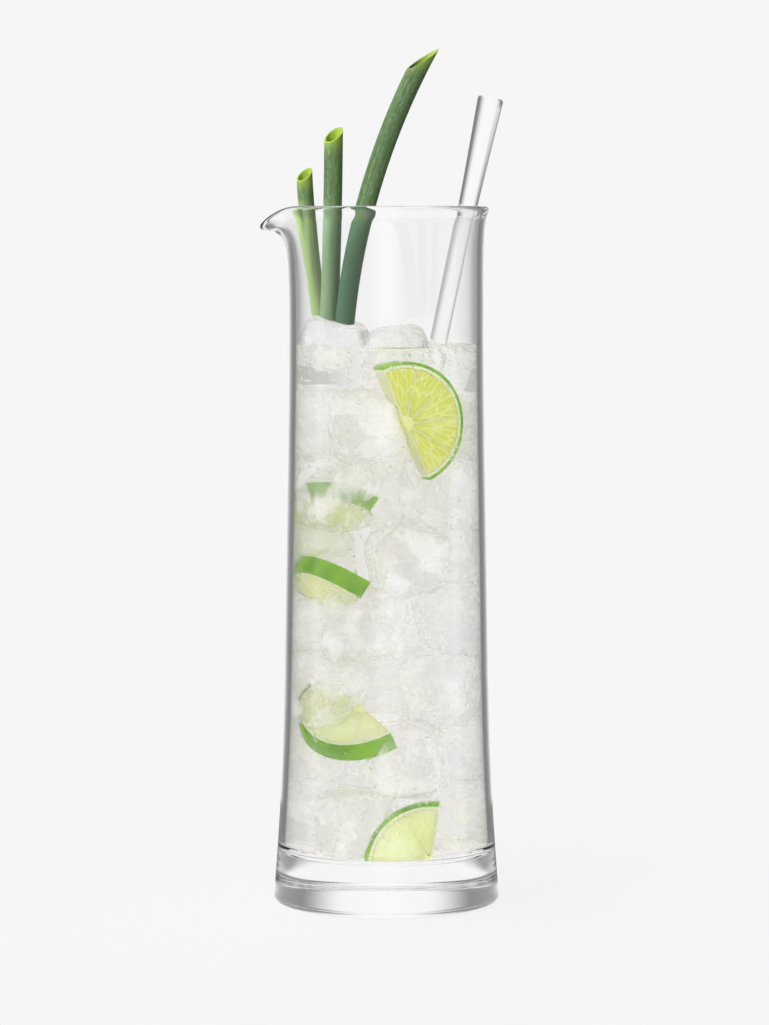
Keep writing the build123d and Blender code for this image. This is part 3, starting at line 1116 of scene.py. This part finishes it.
def leaf_skin(leaf, name, stalk, reach):
    """Spring onion leaf: a tube with fine ribs along it under a bloom of wax, paler towards its stalk, with
    painted shade on the stalk's right side and painted light towards the tip.
    """
    material = new_material(f"Spring onion leaf {name}")
    tree = material.node_tree
    place = add_node(tree, "ShaderNodeAttribute", attribute_name="leaf_place")
    stretch = add_node(
        tree, "ShaderNodeMapping", {"Vector": place.outputs["Vector"], "Scale": (1 / 0.9, 1 / 0.9, 1 / 45)}
    )
    ribs = add_node(
        tree, "ShaderNodeTexNoise", {"Vector": stretch.outputs["Vector"], "Scale": 1.0, "Detail": 3.0}
    )
    rib_share = add_node(
        tree,
        "ShaderNodeMapRange",
        {"Value": ribs.outputs["Fac"], "From Min": 0.35, "From Max": 0.65, "To Min": 0.0, "To Max": 0.8},
    )
    green = add_node(
        tree,
        "ShaderNodeMix",
        {0: rib_share.outputs["Result"], 6: paint(leaf.skin), 7: paint(leaf.rib_and_painted_shade)},
        data_type="RGBA",
    )
    flecks = add_node(
        tree,
        "ShaderNodeMapping",
        {"Vector": place.outputs["Vector"], "Scale": (1 / 0.45, 1 / 0.45, 1 / 2.5)},
    )
    wax = add_node(
        tree, "ShaderNodeTexNoise", {"Vector": flecks.outputs["Vector"], "Scale": 1.0, "Detail": 2.0}
    )
    wax_share = add_node(
        tree,
        "ShaderNodeMapRange",
        {"Value": wax.outputs["Fac"], "From Min": 0.5, "From Max": 0.75, "To Min": 0.0, "To Max": 0.5},
    )
    bloom = add_node(
        tree,
        "ShaderNodeMix",
        {0: wax_share.outputs["Result"], 6: green.outputs[2], 7: paint(leaf.wax)},
        data_type="RGBA",
    )
    parts = add_node(tree, "ShaderNodeSeparateXYZ", {"Vector": place.outputs["Vector"]})
    top = add_node(
        tree,
        "ShaderNodeMapRange",
        {"Value": parts.outputs["Z"], "From Min": STALK_END, "From Max": LEAF_START},
        interpolation_type="SMOOTHSTEP",
    )
    # Painted shade: the stalk's right side is darkened towards the rib colour, as though lit from the left
    side = add_node(
        tree,
        "ShaderNodeMapRange",
        {"Value": parts.outputs["X"], "From Min": -2.5, "From Max": 3.0, "To Min": 0.0, "To Max": 0.6},
        interpolation_type="SMOOTHSTEP",
    )
    ribs_and_painted_shade = add_node(
        tree,
        "ShaderNodeMath",
        {0: rib_share.outputs["Result"], 1: 0.2, 2: side.outputs["Result"]},
        operation="MULTIPLY_ADD",
    )
    # The stalk's colour with its ribs and the painted shade on its right side
    foot = add_node(
        tree,
        "ShaderNodeMix",
        {0: ribs_and_painted_shade.outputs["Value"], 6: paint(stalk), 7: paint(leaf.rib_and_painted_shade)},
        data_type="RGBA",
    )
    length = add_node(
        tree,
        "ShaderNodeMix",
        {0: top.outputs["Result"], 6: foot.outputs[2], 7: bloom.outputs[2]},
        data_type="RGBA",
    )
    # Painted light: the last stretch of the leaf is mixed towards the cut colour, standing in for light that
    # shines through the thin tip
    tip_painted_light = add_node(
        tree,
        "ShaderNodeMapRange",
        {"Value": parts.outputs["Z"], "From Min": reach - TIP_LENGTH, "From Max": reach, "To Max": 0.8},
        interpolation_type="SMOOTHSTEP",
    )
    colour = add_node(
        tree,
        "ShaderNodeMix",
        {0: tip_painted_light.outputs["Result"], 6: length.outputs[2], 7: paint(leaf.cut)},
        data_type="RGBA",
    )
    bump = add_node(
        tree, "ShaderNodeBump", {"Height": ribs.outputs["Fac"], "Strength": 0.4, "Distance": 0.25 * MM}
    )
    skin = add_node(
        tree,
        "ShaderNodeBsdfPrincipled",
        {
            "Base Color": colour.outputs[2],
            "Roughness": 0.42,
            "IOR": 1.45,
            "Subsurface Weight": 0.1,
            "Subsurface Radius": (0.5, 1.0, 0.3),
            "Subsurface Scale": 0.8 * MM,
            "Normal": bump.outputs["Normal"],
        },
    )
    add_node(tree, "ShaderNodeOutputMaterial", {"Surface": skin.outputs["BSDF"]})
    return material


def leaf_cut(leaf):
    """Cut edge and inside of a leaf: wet, yellow-green and faintly ribbed along the leaf."""
    material = new_material("Cut spring onion")
    tree = material.node_tree
    place = add_node(tree, "ShaderNodeAttribute", attribute_name="leaf_place")
    stretch = add_node(
        tree, "ShaderNodeMapping", {"Vector": place.outputs["Vector"], "Scale": (1 / 0.7, 1 / 0.7, 1 / 14)}
    )
    cells = add_node(
        tree, "ShaderNodeTexNoise", {"Vector": stretch.outputs["Vector"], "Scale": 1.0, "Detail": 3.0}
    )
    share = add_node(
        tree,
        "ShaderNodeMapRange",
        {"Value": cells.outputs["Fac"], "From Min": 0.4, "From Max": 0.7, "To Min": 0.0, "To Max": 0.5},
    )
    colour = add_node(
        tree,
        "ShaderNodeMix",
        {0: share.outputs["Result"], 6: paint(leaf.cut), 7: paint(leaf.skin)},
        data_type="RGBA",
    )
    bump = add_node(
        tree, "ShaderNodeBump", {"Height": cells.outputs["Fac"], "Strength": 0.3, "Distance": 0.2 * MM}
    )
    inside = add_node(
        tree,
        "ShaderNodeBsdfPrincipled",
        {
            "Base Color": colour.outputs[2],
            "Roughness": 0.3,
            "IOR": 1.4,
            "Subsurface Weight": 0.3,
            "Subsurface Radius": (0.8, 1.0, 0.2),
            "Subsurface Scale": 1.0 * MM,
            "Normal": bump.outputs["Normal"],
        },
    )
    add_node(tree, "ShaderNodeOutputMaterial", {"Surface": inside.outputs["BSDF"]})
    return material


class PITCHER_OT_trim_leaves(bpy.types.Operator):
    """Dresses the three spring onion leaves: waxy skin outside, wet cut edge and inside"""

    bl_idname = "pitcher.trim_leaves"
    bl_label = "Trim Leaves"

    def execute(self, context):
        leaf = context.scene.pitcher_leaf
        cut = leaf_cut(leaf)
        stalks = {"left": leaf.stalk_left, "middle": leaf.stalk_middle, "right": leaf.stalk_right}
        for name, stalk in stalks.items():
            node = f"spring_onion_{name}"
            piece = merged_copy(node, f"{name}_leaf_tube")
            local = mark_leaf(piece)
            piece.data.materials.append(leaf_skin(leaf, name, stalk, local[:, 2].max()))
            piece.data.materials.append(cut)
            middles = np.array([local[list(face.vertices)].mean(axis=0) for face in piece.data.polygons])
            half_way = np.abs(middles[:, 2] - middles[:, 2].mean()) < HALF_WAY_REACH
            reach = np.hypot(middles[:, 0], middles[:, 1]) * half_way
            outermost = int(np.argmax(reach))
            bpy.ops.object.mode_set(mode="EDIT")
            bpy.ops.mesh.select_mode(type="FACE")
            bpy.ops.mesh.select_all(action="DESELECT")
            bpy.ops.object.mode_set(mode="OBJECT")
            piece.data.polygons[outermost].select = True
            bpy.ops.object.mode_set(mode="EDIT")
            bpy.ops.mesh.faces_select_linked_flat(sharpness=SKIN_SHARPNESS)
            bpy.ops.mesh.select_all(action="INVERT")
            piece.active_material_index = 1
            bpy.ops.object.material_slot_assign()
            bpy.ops.object.mode_set(mode="OBJECT")
            bpy.ops.object.shade_smooth_by_angle(angle=SMOOTH_ANGLE)
            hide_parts(node)
            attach(piece, f"{name}_leaf")
        return {"FINISHED"}


# The bubbles under the surface: how deep and how far out they lie, and how they crowd upwards
RISING_DEPTH = 18 * MM
RISING_REACH = 36 * MM
RISING_CROWD = 1.5


def bubble_size(draw):
    """Radius of a bubble that clings to glass, ice or peel."""
    return draw.uniform(0.25, 0.5) * draw.uniform(0.8, 2.0) * MM


def around(turn, radius, height):
    """Place at an angle about the pitcher's axis."""
    return Vector((radius * math.cos(turn), radius * math.sin(turn), height))


def bubble_gas():
    """Gas in water: a clear bead with a bright skin, which scatters part of the light."""
    material = new_material("Gas in the drink")
    tree = material.node_tree
    gas = add_node(tree, "ShaderNodeBsdfGlass", {"Color": WHITE, "Roughness": 0.0, "IOR": 1 / WATER_IOR})
    glint = add_node(tree, "ShaderNodeBsdfTranslucent", {"Color": WHITE})
    skin = add_node(
        tree, "ShaderNodeMixShader", {0: 0.45, 1: gas.outputs["BSDF"], 2: glint.outputs["BSDF"]}
    )
    add_node(tree, "ShaderNodeOutputMaterial", {"Surface": skin.outputs["Shader"]})
    return material


class PITCHER_OT_add_bubbles(bpy.types.Operator):
    """Scatters gas bubbles over the ice, the limes and the inside of the glass"""

    bl_idname = "pitcher.add_bubbles"
    bl_label = "Add Bubbles"

    def execute(self, context):
        glass = context.scene.pitcher_glass
        drink = context.scene.pitcher_drink
        draw = random.Random(drink.seed)
        places = []
        for _ in range(drink.bubbles):
            size = bubble_size(draw)
            turn = draw.uniform(0, math.tau)
            z = draw.uniform(glass.base + FLOOR_ROUND, drink.level - 2 * size)
            radius = side_radius(glass, z) - glass.wall - drink.film - ICE_GAP - size
            places.append((around(turn, radius, z), size))
        for _ in range(drink.rising):
            size = draw.uniform(0.25, 0.7) * MM
            turn = draw.uniform(0, math.tau)
            z = drink.level - size - draw.random() ** RISING_CROWD * RISING_DEPTH
            radius = math.sqrt(draw.random()) * RISING_REACH
            places.append((around(turn, radius, z), size))
        for piece in context.scene.objects:
            if not piece.name.startswith("melted_") and piece.name not in RINDS:
                continue
            for vertex in draw.choices(piece.data.vertices, k=drink.clinging):
                size = bubble_size(draw)
                places.append((vertex.co + vertex.normal * size * 0.8, size))
        deselect_all()
        bpy.ops.mesh.primitive_uv_sphere_add(segments=8, ring_count=6, radius=1)
        ball = context.object
        shell = np.array([vertex.co for vertex in ball.data.vertices])
        faces = [list(face.vertices) for face in ball.data.polygons]
        bpy.ops.object.delete()
        corners = []
        skins = []
        for place, size in places:
            room = side_radius(glass, min(place.z, drink.level)) - glass.wall - drink.film - size
            lies_high = place.z > drink.level - size
            lies_low = place.z < glass.base + 2 * size
            if lies_high or lies_low or math.hypot(place.x, place.y) > room:
                continue
            start = len(corners) * len(shell)
            corners.append(shell * size + np.array(place))
            skins += [[start + corner for corner in face] for face in faces]
        mesh = bpy.data.meshes.new("gas_bubbles")
        mesh.from_pydata(np.concatenate(corners).tolist(), [], skins)
        piece = bpy.data.objects.new("gas_bubbles", mesh)
        context.scene.collection.objects.link(piece)
        take_up(piece)
        bpy.ops.object.shade_smooth()
        piece.data.materials.append(bubble_gas())
        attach(piece, "iced_drink")
        return {"FINISHED"}


# The studio's dark flags by the angle aside of straight back, in degrees: where they start and are full,
# low in the room and high in it, and where they end
FLAG_STARTS = (6, 14)
FLAG_FULLS = (22, 38)
FLAG_ENDS = (78, 98)
# Heights of the direction of sight: from low to high in the room, and where the flags fade out
HIGH_RANGE = (0.08, 0.14)
FADE_RANGE = (0.5, 0.85)
# Surfaces that light has passed: in the drink the soft light is even, and the flags don't reach the ice
DRINK_DEPTHS = (4.0, 6.0)
ICE_DEPTHS = (5.4, 7.0)
KEY_RANGE = (-0.8, 0.35)
PLAIN_LEVEL = 1.04
FRONT_SHARE = 0.6
FRONT_EDGE = 0.02

# The table: where its flags start behind the foot, and how far out it counts as high in the room
TABLE_GAP = 0.2 * MM
TABLE_CORNERS = 96
NEAR_RANGE = (46 * MM, 58 * MM)
FAR_RANGE = (130 * MM, 200 * MM)
FAR_RISE = 0.15
FLAG_SETBACK = 45 * MM
GLOW_RANGE = (50 * MM, 250 * MM)
NEAR_GLOW = 0.9

# Place and power of each softbox, and their size
SOFTBOXES = {"Left softbox": ((-0.9, -1.1, 0.9), 14), "Right softbox": ((1.0, -0.9, 0.8), 2)}
SOFTBOX_WIDTH = 0.5
SOFTBOX_HEIGHT = 1.0
SOFTBOX_AIM = (0, 0, 0.16)

SENSOR_HEIGHT = 36
# Light goes through many walls of glass, drink and ice before it reaches the eye
BOUNCES = {
    "max_bounces": 96,
    "transmission_bounces": 96,
    "glossy_bounces": 64,
    "diffuse_bounces": 24,
    "volume_bounces": 8,
}


def studio_level(tree, direction, stage, share):
    """Strength of the studio by direction: plain to the eye, flagged for clear glass, soft for the rest."""
    parts = add_node(tree, "ShaderNodeSeparateXYZ", {"Vector": direction})
    across = add_node(tree, "ShaderNodeMath", {0: parts.outputs["X"]}, operation="ABSOLUTE")
    aside = add_node(
        tree, "ShaderNodeMath", {0: across.outputs["Value"], 1: parts.outputs["Y"]}, operation="ARCTAN2"
    )
    start, full = (
        add_node(
            tree,
            "ShaderNodeMapRange",
            {
                "Value": parts.outputs["Z"],
                "From Min": HIGH_RANGE[0],
                "From Max": HIGH_RANGE[1],
                "To Min": math.radians(below),
                "To Max": math.radians(above),
            },
        )
        for below, above in (FLAG_STARTS, FLAG_FULLS)
    )
    rise = add_node(
        tree,
        "ShaderNodeMapRange",
        {
            "Value": aside.outputs["Value"],
            "From Min": start.outputs["Result"],
            "From Max": full.outputs["Result"],
        },
        interpolation_type="SMOOTHSTEP",
    )
    fall = add_node(
        tree,
        "ShaderNodeMapRange",
        {
            "Value": aside.outputs["Value"],
            "From Min": math.radians(FLAG_ENDS[0]),
            "From Max": math.radians(FLAG_ENDS[1]),
            "To Min": 1.0,
            "To Max": 0.0,
        },
        interpolation_type="SMOOTHSTEP",
    )
    height = add_node(tree, "ShaderNodeMath", {0: parts.outputs["Z"]}, operation="ABSOLUTE")
    low = add_node(
        tree,
        "ShaderNodeMapRange",
        {
            "Value": height.outputs["Value"],
            "From Min": FADE_RANGE[0],
            "From Max": FADE_RANGE[1],
            "To Min": 1.0,
            "To Max": 0.0,
        },
        interpolation_type="SMOOTHSTEP",
    )
    path = add_node(tree, "ShaderNodeLightPath")
    depth = path.outputs["Transmission Depth"]
    clear = add_node(
        tree,
        "ShaderNodeMapRange",
        {
            "Value": depth,
            "From Min": ICE_DEPTHS[0],
            "From Max": ICE_DEPTHS[1],
            "To Min": 1.0,
            "To Max": 0.0,
        },
    )
    flag = rise.outputs["Result"]
    for factor in (fall.outputs["Result"], low.outputs["Result"], clear.outputs["Result"], share):
        flag = add_node(tree, "ShaderNodeMath", {0: flag, 1: factor}, operation="MULTIPLY").outputs["Value"]
    level = add_node(
        tree, "ShaderNodeMapRange", {"Value": flag, "To Min": PLAIN_LEVEL, "To Max": stage.flag}
    )
    key = add_node(
        tree,
        "ShaderNodeMapRange",
        {
            "Value": parts.outputs["X"],
            "From Min": KEY_RANGE[0],
            "From Max": KEY_RANGE[1],
            "To Min": stage.fill * (1 + stage.slant),
            "To Max": stage.fill * (1 - stage.slant),
        },
    )
    wet = add_node(
        tree,
        "ShaderNodeMapRange",
        {"Value": depth, "From Min": DRINK_DEPTHS[0], "From Max": DRINK_DEPTHS[1]},
    )
    fill = add_node(
        tree, "ShaderNodeMix", {0: wet.outputs["Result"], 2: key.outputs["Result"], 3: stage.fill}
    )
    light = add_node(
        tree,
        "ShaderNodeMix",
        {0: path.outputs["Diffuse Depth"], 2: level.outputs["Result"], 3: fill.outputs[0]},
    )
    seen = add_node(tree, "ShaderNodeMix", {0: path.outputs["Is Camera Ray"], 2: light.outputs[0], 3: 1.0})
    return seen.outputs[0]


def two_sided(tree, direction):
    """Direction mirrored to behind the pitcher, and the share of the flags, which are fainter before it."""
    parts = add_node(tree, "ShaderNodeSeparateXYZ", {"Vector": direction})
    depth = add_node(tree, "ShaderNodeMath", {0: parts.outputs["Y"]}, operation="ABSOLUTE")
    mirrored = add_node(
        tree,
        "ShaderNodeCombineXYZ",
        {"X": parts.outputs["X"], "Y": depth.outputs["Value"], "Z": parts.outputs["Z"]},
    )
    share = add_node(
        tree,
        "ShaderNodeMapRange",
        {
            "Value": parts.outputs["Y"],
            "From Min": -FRONT_EDGE,
            "From Max": FRONT_EDGE,
            "To Min": FRONT_SHARE,
            "To Max": 1.0,
        },
    )
    return mirrored.outputs["Vector"], share.outputs["Result"]


def lit_acrylic(stage):
    """Acrylic sheet lit from below: as white as the backdrop, with a faint shadow where the foot stands."""
    material = new_material("Lit acrylic table")
    tree = material.node_tree
    place = add_node(tree, "ShaderNodeTexCoord")
    reach = add_node(tree, "ShaderNodeVectorMath", {0: place.outputs["Object"]}, operation="LENGTH")
    away = reach.outputs["Value"]
    near = add_node(
        tree, "ShaderNodeMapRange", {"Value": away, "From Min": NEAR_RANGE[0], "From Max": NEAR_RANGE[1]}
    )
    rise = add_node(
        tree,
        "ShaderNodeMapRange",
        {
            "Value": away,
            "From Min": FAR_RANGE[0],
            "From Max": FAR_RANGE[1],
            "To Min": FAR_RISE,
            "To Max": 0.0,
        },
    )
    shift = add_node(tree, "ShaderNodeCombineXYZ", {"Y": -FLAG_SETBACK, "Z": rise.outputs["Result"]})
    direction, share = two_sided(tree, place.outputs["Object"])
    seen = add_node(
        tree, "ShaderNodeVectorMath", {0: direction, 1: shift.outputs["Vector"]}, operation="ADD"
    )
    share = add_node(tree, "ShaderNodeMath", {0: near.outputs["Result"], 1: share}, operation="MULTIPLY")
    level = studio_level(tree, seen.outputs["Vector"], stage, share.outputs["Value"])
    glow = add_node(tree, "ShaderNodeEmission", {"Color": paint(stage.backdrop), "Strength": level})
    soft = add_node(tree, "ShaderNodeBsdfDiffuse", {"Color": paint(linear("#DCDCDC"))})
    glow_share = add_node(
        tree,
        "ShaderNodeMapRange",
        {
            "Value": away,
            "From Min": GLOW_RANGE[0],
            "From Max": GLOW_RANGE[1],
            "To Min": NEAR_GLOW,
            "To Max": 1.0,
        },
    )
    mix = add_node(
        tree,
        "ShaderNodeMixShader",
        {0: glow_share.outputs["Result"], 1: soft.outputs["BSDF"], 2: glow.outputs["Emission"]},
    )
    add_node(tree, "ShaderNodeOutputMaterial", {"Surface": mix.outputs["Shader"]})
    return material


class PITCHER_OT_set_stage(bpy.types.Operator):
    """Sets the camera, the pale table, the backdrop and the lights"""

    bl_idname = "pitcher.set_stage"
    bl_label = "Set Stage"

    def execute(self, context):
        scene = context.scene
        stage = scene.pitcher_stage
        glass = scene.pitcher_glass
        deselect_all()
        bpy.ops.object.camera_add(location=(stage.side, -stage.distance, glass.height))
        camera = context.object
        tilt = math.atan2(glass.height - stage.aim, stage.distance)
        camera.rotation_euler = (math.pi / 2 - tilt, 0, 0)
        camera.data.sensor_fit = "VERTICAL"
        camera.data.sensor_height = SENSOR_HEIGHT
        camera.data.lens = stage.lens
        camera.data.dof.use_dof = False
        scene.camera = camera

        deselect_all()
        bpy.ops.mesh.primitive_circle_add(
            vertices=TABLE_CORNERS, radius=stage.table, fill_type="NGON", location=(0, 0, -TABLE_GAP)
        )
        table = context.object
        table.name = "pale_table"
        bpy.ops.object.transform_apply(location=True)
        table.data.materials.append(lit_acrylic(stage))

        world = scene.world or bpy.data.worlds.new("Studio")
        scene.world = world
        world.use_nodes = True
        tree = world.node_tree
        tree.nodes.clear()
        place = add_node(tree, "ShaderNodeTexCoord")
        direction, share = two_sided(tree, place.outputs["Generated"])
        level = studio_level(tree, direction, stage, share)
        room = add_node(tree, "ShaderNodeBackground", {"Color": paint(stage.backdrop), "Strength": level})
        add_node(tree, "ShaderNodeOutputWorld", {"Surface": room.outputs["Background"]})

        for name, (place, energy) in SOFTBOXES.items():
            deselect_all()
            bpy.ops.object.light_add(type="AREA", location=place)
            lamp = context.object
            lamp.name = name
            lamp.data.shape = "RECTANGLE"
            lamp.data.size = SOFTBOX_WIDTH
            lamp.data.size_y = SOFTBOX_HEIGHT
            lamp.data.energy = energy
            lamp.visible_glossy = False
            lamp.visible_transmission = False
            aim = Vector(SOFTBOX_AIM) - Vector(place)
            lamp.rotation_euler = aim.to_track_quat("-Z", "Y").to_euler()
        scene.view_settings.view_transform = "Standard"
        scene.cycles.blur_glossy = 0
        for key, value in BOUNCES.items():
            setattr(scene.cycles, key, value)
        return {"FINISHED"}


class PITCHER_PT_sidebar(bpy.types.Panel):
    """Lists the pieces of the pitcher and their settings"""

    bl_idname = "PITCHER_PT_sidebar"
    bl_label = "Cocktail Pitcher"
    bl_space_type = "VIEW_3D"
    bl_region_type = "UI"
    bl_category = "Pitcher"

    def draw(self, context):
        for operator, settings in STEPS:
            box = self.layout.box()
            box.operator(operator.bl_idname)
            group = getattr(context.scene, settings)
            for key in group.__annotations__:
                box.prop(group, key)


SETTINGS = {
    "pitcher_glass": PitcherGlassSettings,
    "pitcher_drink": DrinkSettings,
    "pitcher_ice": IceSettings,
    "pitcher_lime": LimeSettings,
    "pitcher_leaf": LeafSettings,
    "pitcher_stage": StageSettings,
}
STEPS = (
    (PITCHER_OT_blow_glass, "pitcher_glass"),
    (PITCHER_OT_draw_stirrer, "pitcher_glass"),
    (PITCHER_OT_pour_drink, "pitcher_drink"),
    (PITCHER_OT_melt_ice, "pitcher_ice"),
    (PITCHER_OT_cut_limes, "pitcher_lime"),
    (PITCHER_OT_trim_leaves, "pitcher_leaf"),
    (PITCHER_OT_add_bubbles, "pitcher_drink"),
    (PITCHER_OT_set_stage, "pitcher_stage"),
)


def register():
    """Registers the settings, the operators and the panel."""
    for name, group in SETTINGS.items():
        bpy.utils.register_class(group)
        setattr(bpy.types.Scene, name, bpy.props.PointerProperty(type=group))
    for operator, _ in STEPS:
        bpy.utils.register_class(operator)
    bpy.utils.register_class(PITCHER_PT_sidebar)


def unregister():
    """Takes the panel, the operators and the settings out again."""
    bpy.utils.unregister_class(PITCHER_PT_sidebar)
    for operator, _ in reversed(STEPS):
        bpy.utils.unregister_class(operator)
    for name, group in SETTINGS.items():
        delattr(bpy.types.Scene, name)
        bpy.utils.unregister_class(group)


def main():
    """Makes every piece in order."""
    register()
    bpy.ops.pitcher.blow_glass()
    bpy.ops.pitcher.draw_stirrer()
    bpy.ops.pitcher.pour_drink()
    bpy.ops.pitcher.melt_ice()
    bpy.ops.pitcher.cut_limes()
    bpy.ops.pitcher.trim_leaves()
    bpy.ops.pitcher.add_bubbles()
    bpy.ops.pitcher.set_stage()


if __name__ == "__main__":
    main()
